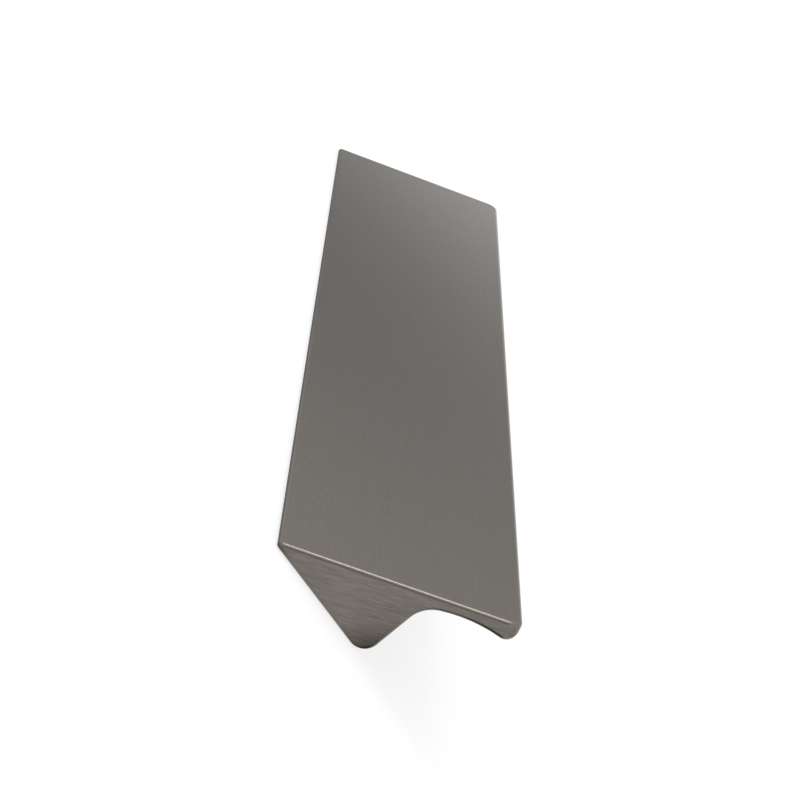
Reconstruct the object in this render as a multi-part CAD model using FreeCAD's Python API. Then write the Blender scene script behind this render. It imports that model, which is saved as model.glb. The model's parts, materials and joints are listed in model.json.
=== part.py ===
import FreeCAD, Part
import math
import os

from FreeCAD import Vector

# A tab pull for a drawer front or cupboard door: one length of extruded aluminium.
# Millimetres and degrees. The mounting face lies on Z = 0 against the door and +Z points away from it.
# X runs along the pull, Y from its thin edge to its lip, and the origin is midway between the screw holes.

# Section, seen from the end. The apex is the line where the front's plane meets the door.
front_width = 41.5  # front face, from the apex to the lip's outer side
front_angle = 35.5  # between the front face and the door
base_width = 24.8  # mounting face, from the apex to the corner under the finger wall
wall_lean = 10.0  # the finger wall leans back from square, so that it undercuts the front
recess_radius = 24.0  # hollow under the lip
lip_thickness = 2.1  # the lip where it is thinnest
neck_setback = 10.1  # from the lip's outer side back to that place

# Rounded edges that run the whole length
thin_edge_radius = 0.6
foot_radius = 2.7
root_radius = 4.8
nose_radius = 2.3

# Cut length, and the finish of the cut ends
length = 200.0
corner_radius = 2.5  # the lip's two outer corners, seen from the front
lip_facing = 0.15  # taken off the lip's outer side with them, which leaves that side flat
edge_round = 0.8  # around both ends, and along both edges of the lip's outer side

# Two blind tapped holes for machine screws, in the mounting face
hole_spacing = 160.0
hole_inset = 16.0  # from the apex to the holes' centres
thread_diameter = 4.0
hole_depth = 7.5  # full diameter, without the drill's point
drill_point_angle = 118.0
mouth_chamfer = 0.4


tilt = math.radians(front_angle)
across_front = Vector(0, math.cos(tilt), math.sin(tilt))
into_front = Vector(0, math.sin(tilt), -math.cos(tilt))
apex = Vector(0, -hole_inset, 0)
along_pull = Vector(length, 0, 0)


def front_point(across, depth):
    """The point this far across the front face from the apex, and this deep behind the face."""
    return apex + across_front * across + into_front * depth


def up_wall_to_recess(start, direction, centre):
    """Where the finger wall, going up from the foot, meets the hollow under the lip."""
    reach = (centre - start).dot(direction)
    miss = (start + direction * reach - centre).Length
    return start + direction * (reach + math.sqrt(recess_radius**2 - miss**2))


def edge_at(shape, middle):
    """The edge whose middle lies nearest to a point."""
    return min(shape.Edges, key=lambda edge: edge.CenterOfMass.distanceToPoint(middle))


def extruded_profile():
    """The profile as it leaves the die: a sharp outline, then its four rounded edges."""
    foot = apex + Vector(0, base_width, 0)
    lean = math.radians(wall_lean)
    wall = Vector(0, -math.sin(lean), math.cos(lean))
    neck = front_width - neck_setback
    recess_centre = front_point(neck, lip_thickness + recess_radius)
    root = up_wall_to_recess(foot, wall, recess_centre)
    lip_inside = front_point(neck, lip_thickness)
    raw_setback = neck_setback + lip_facing
    nose_drop = recess_radius - math.sqrt(recess_radius**2 - raw_setback**2)
    nose = front_point(front_width + lip_facing, lip_thickness + nose_drop)
    lip = front_point(front_width + lip_facing, 0)
    outline = Part.Wire([
        Part.LineSegment(apex, foot).toShape(),
        Part.LineSegment(foot, root).toShape(),
        Part.Arc(root, lip_inside, nose).toShape(),
        Part.LineSegment(nose, lip).toShape(),
        Part.LineSegment(lip, apex).toShape(),
    ])
    outline.translate(along_pull * -0.5)
    profile = Part.Face(outline).extrude(along_pull)
    rounded_edges = (
        (apex, thin_edge_radius),
        (foot, foot_radius),
        (root, root_radius),
        (nose, nose_radius),
    )
    for corner, radius in rounded_edges:
        profile = profile.makeFillet(radius, [edge_at(profile, corner)])
    return profile


def front_outline_block():
    """A block with the outline that the pull shows from the front: square at the apex, rounded at the lip."""
    end = along_pull * 0.5
    corners = [front_point(0, 0) - end, front_point(front_width, 0) - end,
               front_point(front_width, 0) + end, front_point(0, 0) + end]
    outline = Part.makePolygon(corners + corners[:1])
    depth = into_front * front_width
    block = Part.Face(outline).extrude(depth)
    lip_corners = [edge_at(block, corner + depth * 0.5) for corner in corners[1:3]]
    return block.makeFillet(corner_radius, lip_corners)


def screw_hole():
    """The space that drilling and countersinking one hole takes out, with its mouth at the origin."""
    radius = thread_diameter / 2
    point = radius / math.tan(math.radians(drill_point_angle / 2))
    half_section = Part.makePolygon([
        Vector(0, 0, 0),
        Vector(radius + mouth_chamfer, 0, 0),
        Vector(radius, 0, mouth_chamfer),
        Vector(radius, 0, hole_depth),
        Vector(0, 0, hole_depth + point),
        Vector(0, 0, 0),
    ])
    return Part.Face(half_section).revolve(Vector(0, 0, 0), Vector(0, 0, 1), 360)


def tab_pull():
    """The cut length with its corners and edges finished, and its two holes drilled."""
    pull = extruded_profile().common(front_outline_block()).Solids[0]
    # The edges of both ends and of the lip's side run into each other smoothly, so one pick rounds them all.
    front_end = front_point(front_width / 2, 0) + along_pull * 0.5
    pull = pull.makeFillet(edge_round, [edge_at(pull, front_end)])
    for side in (-1, 1):
        hole = screw_hole()
        hole.translate(Vector(side * hole_spacing / 2, 0, 0))
        pull = pull.cut(hole)
    return pull.Solids[0]


os.makedirs("parts", exist_ok=True)
tab_pull().exportStep("parts/tab_pull.step")
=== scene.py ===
import bmesh
import bpy
import json
import math
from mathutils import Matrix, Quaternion, Vector


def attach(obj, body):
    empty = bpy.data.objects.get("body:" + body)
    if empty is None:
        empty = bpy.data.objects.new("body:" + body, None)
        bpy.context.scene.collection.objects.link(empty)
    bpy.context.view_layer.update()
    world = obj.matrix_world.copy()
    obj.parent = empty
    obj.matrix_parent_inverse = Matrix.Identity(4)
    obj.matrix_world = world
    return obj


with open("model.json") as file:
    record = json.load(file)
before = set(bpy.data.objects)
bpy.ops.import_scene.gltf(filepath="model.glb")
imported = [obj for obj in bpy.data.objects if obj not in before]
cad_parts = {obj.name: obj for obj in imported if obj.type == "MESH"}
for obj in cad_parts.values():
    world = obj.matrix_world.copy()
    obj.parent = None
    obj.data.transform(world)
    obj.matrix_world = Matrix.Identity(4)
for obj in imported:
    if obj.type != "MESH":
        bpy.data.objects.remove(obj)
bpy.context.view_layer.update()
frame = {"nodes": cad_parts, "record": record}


# The pull
# One length of extruded aluminium with a nickel-grey finish. Its long faces are brushed along the pull on a
# belt, and its cut ends are linished at a slant afterwards, so two sets of fine lines meet at the end edges.
pull = frame["nodes"]["tab_pull"]
metal_bright = (0.236, 0.213, 0.192, 1.0)
metal_dark = (0.136, 0.1228, 0.110, 1.0)
metal_roughness = 0.30
metal_roughness_spread = 0.05
belt_line_length = 0.022
belt_line_width = 0.00013
belt_line_depth = 0.50
belt_grain_length = 0.00080
belt_grain_width = 0.00028
belt_grain_detail = 2.0
belt_grain_share = 0.65
end_line_length = 0.0032
end_line_width = 0.00015
end_line_depth = 1.0
end_line_slant = math.radians(39.5)
end_starts_at = 0.80  # how squarely a surface faces along the pull where the end's lines begin
end_full_at = 0.97
fine_noise_detail = 3.0
fine_noise_roughness = 0.65
broad_noise_scale = 0.21
broad_noise_detail = 2.0
broad_noise_share = 0.22
noise_low = 0.3
noise_high = 0.7
middle_height = 0.5
relief_strength = 0.10
relief_height = 0.00003


def brushed_lines_group():
    """Fine and broad noise as one height from 0 to 1. A stretched Vector makes lines of it."""
    group = bpy.data.node_groups.new("brushed_lines", "ShaderNodeTree")
    group.interface.new_socket("Vector", in_out="INPUT", socket_type="NodeSocketVector")
    group.interface.new_socket("Depth", in_out="INPUT", socket_type="NodeSocketFloat")
    group.interface.new_socket("Height", in_out="OUTPUT", socket_type="NodeSocketFloat")
    nodes, links = group.nodes, group.links
    group_in = nodes.new("NodeGroupInput")
    group_out = nodes.new("NodeGroupOutput")
    fine = nodes.new("ShaderNodeTexNoise")
    fine.inputs["Scale"].default_value = 1.0
    fine.inputs["Detail"].default_value = fine_noise_detail
    fine.inputs["Roughness"].default_value = fine_noise_roughness
    broad = nodes.new("ShaderNodeTexNoise")
    broad.inputs["Scale"].default_value = broad_noise_scale
    broad.inputs["Detail"].default_value = broad_noise_detail
    both = nodes.new("ShaderNodeMix")
    both.inputs["Factor"].default_value = broad_noise_share
    full_height = nodes.new("ShaderNodeMapRange")
    full_height.inputs["From Min"].default_value = noise_low
    full_height.inputs["From Max"].default_value = noise_high
    height = nodes.new("ShaderNodeMix")
    height.inputs["A"].default_value = middle_height
    links.new(group_in.outputs["Vector"], fine.inputs["Vector"])
    links.new(group_in.outputs["Vector"], broad.inputs["Vector"])
    links.new(fine.outputs["Fac"], both.inputs["A"])
    links.new(broad.outputs["Fac"], both.inputs["B"])
    links.new(both.outputs["Result"], full_height.inputs["Value"])
    links.new(group_in.outputs["Depth"], height.inputs["Factor"])
    links.new(full_height.outputs["Result"], height.inputs["B"])
    links.new(height.outputs["Result"], group_out.inputs["Height"])
    return group


brushed_lines = brushed_lines_group()


def stretched_place(material, size, slant=0.0):
    """Object coordinates counted in steps of this size along X, Y and Z, after a turn about X."""
    nodes, links = material.node_tree.nodes, material.node_tree.links
    place = nodes.new("ShaderNodeTexCoord")
    turned = nodes.new("ShaderNodeMapping")
    turned.inputs["Rotation"].default_value = (-slant, 0, 0)
    stretched = nodes.new("ShaderNodeMapping")
    stretched.inputs["Scale"].default_value = [1 / step for step in size]
    links.new(place.outputs["Object"], turned.inputs["Vector"])
    links.new(turned.outputs["Vector"], stretched.inputs["Vector"])
    return stretched.outputs["Vector"]


def line_height(material, place, depth):
    """The height of brushed lines at a place: low in a scratch and high on a ridge."""
    lines = material.node_tree.nodes.new("ShaderNodeGroup")
    lines.node_tree = brushed_lines
    lines.inputs["Depth"].default_value = depth
    material.node_tree.links.new(place, lines.inputs["Vector"])
    return lines.outputs["Height"]


def belt_height(material):
    """The belt's long lines, broken up by its short grain."""
    nodes, links = material.node_tree.nodes, material.node_tree.links
    line_place = stretched_place(material, (belt_line_length, belt_line_width, belt_line_width))
    grain_place = stretched_place(material, (belt_grain_length, belt_grain_width, belt_grain_width))
    grain = nodes.new("ShaderNodeTexNoise")
    grain.inputs["Scale"].default_value = 1.0
    grain.inputs["Detail"].default_value = belt_grain_detail
    belt = nodes.new("ShaderNodeMix")
    belt.inputs["Factor"].default_value = belt_grain_share
    links.new(grain_place, grain.inputs["Vector"])
    links.new(line_height(material, line_place, belt_line_depth), belt.inputs["A"])
    links.new(grain.outputs["Fac"], belt.inputs["B"])
    return belt.outputs["Result"]


def end_height(material):
    """The slanted lines of the cut ends."""
    place = stretched_place(material, (end_line_width, end_line_length, end_line_width), end_line_slant)
    return line_height(material, place, end_line_depth)


def end_mask(material):
    """1 on the cut ends and 0 on the long faces."""
    nodes, links = material.node_tree.nodes, material.node_tree.links
    surface = nodes.new("ShaderNodeNewGeometry")
    normal = nodes.new("ShaderNodeSeparateXYZ")
    along_pull = nodes.new("ShaderNodeMath")
    along_pull.operation = "ABSOLUTE"
    mask = nodes.new("ShaderNodeMapRange")
    mask.interpolation_type = "SMOOTHSTEP"
    mask.inputs["From Min"].default_value = end_starts_at
    mask.inputs["From Max"].default_value = end_full_at
    links.new(surface.outputs["Normal"], normal.inputs["Vector"])
    links.new(normal.outputs["X"], along_pull.inputs[0])
    links.new(along_pull.outputs["Value"], mask.inputs["Value"])
    return mask.outputs["Result"]


def shade_by_height(material, height, dark, bright, roughness, spread):
    """Makes the material a metal that is dark and dull where it is low, and bright and glossy where high."""
    nodes, links = material.node_tree.nodes, material.node_tree.links
    shader = nodes["Principled BSDF"]
    shader.inputs["Metallic"].default_value = 1.0
    tone = nodes.new("ShaderNodeMix")
    tone.data_type = "RGBA"
    tone.inputs["A"].default_value = dark
    tone.inputs["B"].default_value = bright
    gloss = nodes.new("ShaderNodeMapRange")
    gloss.inputs["To Min"].default_value = roughness + spread
    gloss.inputs["To Max"].default_value = roughness - spread
    links.new(height, tone.inputs["Factor"])
    links.new(tone.outputs["Result"], shader.inputs["Base Color"])
    links.new(height, gloss.inputs["Value"])
    links.new(gloss.outputs["Result"], shader.inputs["Roughness"])


def brushed_metal():
    """The belt's lines on the long faces and slanted ones on the ends, as tone, gloss and a slight relief."""
    material = bpy.data.materials.new("brushed_nickel_grey")
    material.use_nodes = True
    nodes, links = material.node_tree.nodes, material.node_tree.links
    lines = nodes.new("ShaderNodeMix")
    links.new(end_mask(material), lines.inputs["Factor"])
    links.new(belt_height(material), lines.inputs["A"])
    links.new(end_height(material), lines.inputs["B"])
    height = lines.outputs["Result"]
    shade_by_height(material, height, metal_dark, metal_bright, metal_roughness, metal_roughness_spread)
    relief = nodes.new("ShaderNodeBump")
    relief.inputs["Strength"].default_value = relief_strength
    relief.inputs["Distance"].default_value = relief_height
    links.new(height, relief.inputs["Height"])
    links.new(relief.outputs["Normal"], nodes["Principled BSDF"].inputs["Normal"])
    return material


pull.data.materials[0] = brushed_metal()


# The hole threads
# The M4 threads that a tap cuts in the two blind holes of the mounting face. They are bare metal of the pull
# itself, with the tap's fine marks round them. They start in the countersunk mouths and end short of the
# holes' bottoms.
hole_pattern = next(mount for mount in frame["record"]["mounts"] if mount["kind"] == "bolt_pattern")
hole_spacing = hole_pattern["dims"]["spacing_x_mm"] / 1000
thread_radius = hole_pattern["dims"]["hole_r_mm"] / 1000
thread_crest_radius = 0.00162
thread_pitch = 0.0007
thread_turns = 10
thread_steps = 48
thread_root_flat = 0.00009
thread_crest_flat = 0.00018
thread_sunk = 0.00004  # how far the ridge's foot reaches into the hole's wall
thread_smooth_angle = math.radians(25)
mouth_radius = 0.0024
mouth_sides = 64
thread_bright = (0.252, 0.232, 0.210, 1.0)
thread_dark = (0.140, 0.128, 0.114, 1.0)
thread_roughness = 0.32
thread_roughness_spread = 0.08
tap_mark_length = 0.0030
tap_mark_width = 0.00005
tap_mark_depth = 1.0


def tapped_metal():
    """Bare metal with the tap's marks, which run level round the upright holes."""
    material = bpy.data.materials.new("tapped_metal")
    material.use_nodes = True
    place = stretched_place(material, (tap_mark_length, tap_mark_length, tap_mark_width))
    height = line_height(material, place, tap_mark_depth)
    shade_by_height(material, height, thread_dark, thread_bright, thread_roughness, thread_roughness_spread)
    return material


# The ridge's outline stands upright beside the hole's axis: a rectangle that is then narrowed at its crest.
flank_run = (thread_pitch - thread_root_flat - thread_crest_flat) / 2
flank_slope = flank_run / (thread_radius - thread_crest_radius)
ridge_half_base = (thread_pitch - thread_root_flat) / 2 + flank_slope * thread_sunk
ridge_depth = thread_radius + thread_sunk - thread_crest_radius
ridge_middle = thread_crest_radius + ridge_depth / 2
bpy.ops.object.select_all(action="DESELECT")
bpy.ops.mesh.primitive_plane_add(size=2, location=(0, 0, 0), rotation=(math.radians(90), 0, 0))
first_thread = bpy.context.object
first_thread.name = "hole_thread_1"
bpy.ops.object.transform_apply(location=False, rotation=True, scale=False)
bpy.ops.object.mode_set(mode="EDIT")
bpy.ops.mesh.select_all(action="SELECT")
bpy.ops.transform.resize(value=(ridge_depth / 2, 1, ridge_half_base))
bpy.ops.transform.translate(value=(ridge_middle, 0, 0))
bpy.ops.mesh.delete(type="ONLY_FACE")
ridge = bmesh.from_edit_mesh(first_thread.data)
for corner in ridge.verts:
    corner.select = corner.co.x < ridge_middle
ridge.select_flush_mode()
bmesh.update_edit_mesh(first_thread.data)
bpy.ops.transform.resize(value=(1, 1, thread_crest_flat / 2 / ridge_half_base))
bpy.ops.object.mode_set(mode="OBJECT")

# The outline is wound up the hole, and the two ends of the ridge are closed.
winding = first_thread.modifiers.new("winding", "SCREW")
winding.screw_offset = thread_pitch
winding.iterations = thread_turns
winding.steps = thread_steps
winding.render_steps = thread_steps
bpy.ops.object.modifier_apply(modifier=winding.name)
bpy.ops.object.mode_set(mode="EDIT")
bpy.ops.mesh.select_all(action="SELECT")
bpy.ops.mesh.fill_holes(sides=4)
bpy.ops.mesh.select_all(action="SELECT")
bpy.ops.mesh.normals_make_consistent(inside=False)
bpy.ops.object.mode_set(mode="OBJECT")

# A cone as wide as the countersunk mouth at the mounting face cuts the lowest turn off where the mouth opens.
bpy.ops.mesh.primitive_cone_add(
    vertices=mouth_sides, radius1=2 * mouth_radius, radius2=0, depth=2 * mouth_radius
)
countersink = bpy.context.object
bpy.ops.object.select_all(action="DESELECT")
bpy.context.view_layer.objects.active = first_thread
first_thread.select_set(True)
mouth_cut = first_thread.modifiers.new("mouth_cut", "BOOLEAN")
mouth_cut.operation = "DIFFERENCE"
mouth_cut.solver = "EXACT"
mouth_cut.object = countersink
bpy.ops.object.modifier_apply(modifier=mouth_cut.name)
bpy.data.objects.remove(countersink)

# The thread goes to the first hole, and a copy of it to the second.
bpy.ops.object.mode_set(mode="EDIT")
bpy.ops.mesh.select_all(action="SELECT")
bpy.ops.transform.translate(value=(-hole_spacing / 2, 0, 0))
bpy.ops.object.mode_set(mode="OBJECT")
bpy.ops.object.shade_smooth_by_angle(angle=thread_smooth_angle)
first_thread.data.materials.append(tapped_metal())
bpy.ops.object.duplicate()
second_thread = bpy.context.object
second_thread.name = "hole_thread_2"
bpy.ops.object.mode_set(mode="EDIT")
bpy.ops.mesh.select_all(action="SELECT")
bpy.ops.transform.translate(value=(hole_spacing, 0, 0))
bpy.ops.object.mode_set(mode="OBJECT")
for thread in (first_thread, second_thread):
    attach(thread, "root")


# The floor
# A wide sheet of white studio paper that the pull lies on, mounting face down. It glows, as a light table
# does, so the pull's shadow on it stays faint. Seen from below it is clear, so that the mounting face shows.
floor_half_side = 6.0
floor_level = -0.0001
floor_color = (0.90, 0.90, 0.90, 1.0)
floor_roughness = 0.9
floor_glow_share = 0.75


def any_seen_ray(tree):
    """1 for the rays that show a surface to the camera, straight or by reflection or through glass."""
    ray = tree.nodes.new("ShaderNodeLightPath")
    straight_or_glossy = tree.nodes.new("ShaderNodeMath")
    straight_or_glossy.operation = "MAXIMUM"
    any_of_three = tree.nodes.new("ShaderNodeMath")
    any_of_three.operation = "MAXIMUM"
    tree.links.new(ray.outputs["Is Camera Ray"], straight_or_glossy.inputs[0])
    tree.links.new(ray.outputs["Is Glossy Ray"], straight_or_glossy.inputs[1])
    tree.links.new(straight_or_glossy.outputs["Value"], any_of_three.inputs[0])
    tree.links.new(ray.outputs["Is Transmission Ray"], any_of_three.inputs[1])
    return any_of_three.outputs["Value"]


def white_paper():
    material = bpy.data.materials.new("white_paper")
    material.use_nodes = True
    nodes, links = material.node_tree.nodes, material.node_tree.links
    paper = nodes["Principled BSDF"]
    paper.inputs["Base Color"].default_value = floor_color
    paper.inputs["Roughness"].default_value = floor_roughness
    paper.inputs["Specular IOR Level"].default_value = 0.0
    glow = nodes.new("ShaderNodeEmission")
    glow_share = nodes.new("ShaderNodeMath")
    glow_share.operation = "MULTIPLY"
    glow_share.inputs[1].default_value = floor_glow_share
    from_above = nodes.new("ShaderNodeMixShader")
    links.new(any_seen_ray(material.node_tree), glow_share.inputs[0])
    links.new(glow_share.outputs["Value"], from_above.inputs["Fac"])
    links.new(paper.outputs["BSDF"], from_above.inputs[1])
    links.new(glow.outputs["Emission"], from_above.inputs[2])
    surface = nodes.new("ShaderNodeNewGeometry")
    clear = nodes.new("ShaderNodeBsdfTransparent")
    either_side = nodes.new("ShaderNodeMixShader")
    links.new(surface.outputs["Backfacing"], either_side.inputs["Fac"])
    links.new(from_above.outputs["Shader"], either_side.inputs[1])
    links.new(clear.outputs["BSDF"], either_side.inputs[2])
    links.new(either_side.outputs["Shader"], nodes["Material Output"].inputs["Surface"])
    return material


bpy.ops.object.select_all(action="DESELECT")
bpy.ops.mesh.primitive_plane_add(size=2 * floor_half_side, location=(0, 0, floor_level))
floor = bpy.context.object
floor.name = "studio_floor"
floor.data.materials.append(white_paper())


# The studio light
# White all round, with one soft and slightly cool lamp high above the thin edge's side. The white that lights
# the floor is a little stronger than the white that shows in the metal.
studio_white = (1, 1, 1, 1)
shown_level = 1.0
ambient_level = 1.10
lamp_place = Vector((-0.13, -0.47, 0.98))
lamp_side = 0.36
lamp_watts = 2.4
lamp_color = (0.93, 0.965, 1.0)

world = bpy.data.worlds.new("studio")
world.use_nodes = True
bpy.context.scene.world = world
world_nodes, world_links = world.node_tree.nodes, world.node_tree.links
shown = world_nodes["Background"]
shown.inputs["Color"].default_value = studio_white
shown.inputs["Strength"].default_value = shown_level
ambient = world_nodes.new("ShaderNodeBackground")
ambient.inputs["Color"].default_value = studio_white
ambient.inputs["Strength"].default_value = ambient_level
shown_or_ambient = world_nodes.new("ShaderNodeMixShader")
world_links.new(any_seen_ray(world.node_tree), shown_or_ambient.inputs["Fac"])
world_links.new(ambient.outputs["Background"], shown_or_ambient.inputs[1])
world_links.new(shown.outputs["Background"], shown_or_ambient.inputs[2])
world_links.new(shown_or_ambient.outputs["Shader"], world_nodes["World Output"].inputs["Surface"])

lamp_data = bpy.data.lights.new("key_lamp", "AREA")
lamp_data.size = lamp_side
lamp_data.energy = lamp_watts
lamp_data.color = lamp_color
lamp = bpy.data.objects.new("key_lamp", lamp_data)
bpy.context.scene.collection.objects.link(lamp)
lamp.location = lamp_place
lamp.rotation_euler = (-lamp_place).to_track_quat("-Z", "Y").to_euler()


# The reflection cards
# Oval cards with soft rims, as a photographer sets them round bright metal to shape what it mirrors. They
# show only in reflections. Two stand past the far end, a dark one and a bright one. The others, all darker
# than the studio, stand behind the camera and to the lip's side, or lie along the thin edge and the near end.
# The dark ones that lie along the thin edge, under the foot and the recess, and the one under the lip are
# painted shadow: in the metal's reflections they stand for the pull's contact shade on the floor.
card_lift = 0.00001  # the lying cards' steps above the mounting face's level, so that no two share a plane


def soft_oval(name, level):
    """An even glow in the card's middle that fades out to clear at its rim."""
    material = bpy.data.materials.new(name)
    material.use_nodes = True
    nodes, links = material.node_tree.nodes, material.node_tree.links
    place = nodes.new("ShaderNodeTexCoord")
    oval = nodes.new("ShaderNodeTexGradient")
    oval.gradient_type = "SPHERICAL"
    fade = nodes.new("ShaderNodeMapRange")
    fade.interpolation_type = "SMOOTHSTEP"
    clear = nodes.new("ShaderNodeBsdfTransparent")
    glow = nodes.new("ShaderNodeEmission")
    glow.inputs["Color"].default_value = studio_white
    glow.inputs["Strength"].default_value = level
    card = nodes.new("ShaderNodeMixShader")
    links.new(place.outputs["Object"], oval.inputs["Vector"])
    links.new(oval.outputs["Fac"], fade.inputs["Value"])
    links.new(fade.outputs["Result"], card.inputs["Fac"])
    links.new(clear.outputs["BSDF"], card.inputs[1])
    links.new(glow.outputs["Emission"], card.inputs[2])
    links.new(card.outputs["Shader"], nodes["Material Output"].inputs["Surface"])
    return material


def soft_card(name, place, turn, half_sides, level):
    """A card by its centre, its turn in degrees, its half width and height, and how bright its middle is."""
    bpy.ops.object.select_all(action="DESELECT")
    bpy.ops.mesh.primitive_plane_add(size=2, location=place, rotation=[math.radians(angle) for angle in turn])
    card = bpy.context.object
    card.name = name
    card.scale = (half_sides[0], half_sides[1], 1)
    card.data.materials.append(soft_oval(name, level))
    card.visible_camera = False
    card.visible_diffuse = False
    card.visible_shadow = False


soft_card("far_flag", (-0.20, -0.029, 0.084), (90, 31.8, 90), (0.105, 0.328), 0.34)
soft_card("far_glow", (-0.25, 0.007, 0.056), (90, 0, 90), (0.103, 0.174), 2.12)
soft_card("camera_flag", (0.60, -0.165, 0.39), (60, 0, 75), (0.26, 0.27), 0.02)
# Painted shadow: the next four cards stand for the pull's contact shade on the floor, seen in its
# reflections.
soft_card("thin_edge_painted_shadow", (-0.03, -0.0155, card_lift), (0, 0, 0), (0.40, 0.006), 0.30)
soft_card("foot_painted_shadow", (0.108, 0.0141, 2 * card_lift), (0, 0, 32), (0.035, 0.0075), 0.0)
soft_card("wall_painted_shadow", (0.107, 0.0250, 3 * card_lift), (0, 0, 0), (0.013, 0.0135), 0.35)
soft_card("lip_painted_shadow", (0.1065, 0.0255, 0.010), (0, 0, 17), (0.026, 0.012), 0.0)
soft_card("corner_flag", (0.25, 0.14, 4 * card_lift), (0, 0, 0), (0.12, 0.09), 0.45)
soft_card("side_flag", (0.20, 0.60, 0.05), (90, 0, 0), (0.70, 0.30), 0.75)


# The camera
# It has a long lens and stands about a third of a metre from the near end, a little above the pull and to
# the thin edge's side. It is turned well over, so that the pull stands upright in the picture.
frame_pixels = 800
focal_pixels = 2144.0
sensor_width = 36.0
nearest_shown = 0.01
eye = Vector((0.38723, -0.12816, 0.10476))
aim = Vector((0.00278, 0.01037, 0.00365))
roll = math.radians(59.248)
camera_data = bpy.data.cameras.new("camera")
camera_data.sensor_width = sensor_width
camera_data.lens = focal_pixels / frame_pixels * sensor_width
camera_data.clip_start = nearest_shown
camera = bpy.data.objects.new("camera", camera_data)
bpy.context.scene.collection.objects.link(camera)
camera.location = eye
level_view = (aim - eye).to_track_quat("-Z", "Y")
camera.rotation_euler = (level_view @ Quaternion((0, 0, 1), roll)).to_euler()
bpy.context.scene.camera = camera

bpy.context.scene.view_settings.view_transform = "Standard"
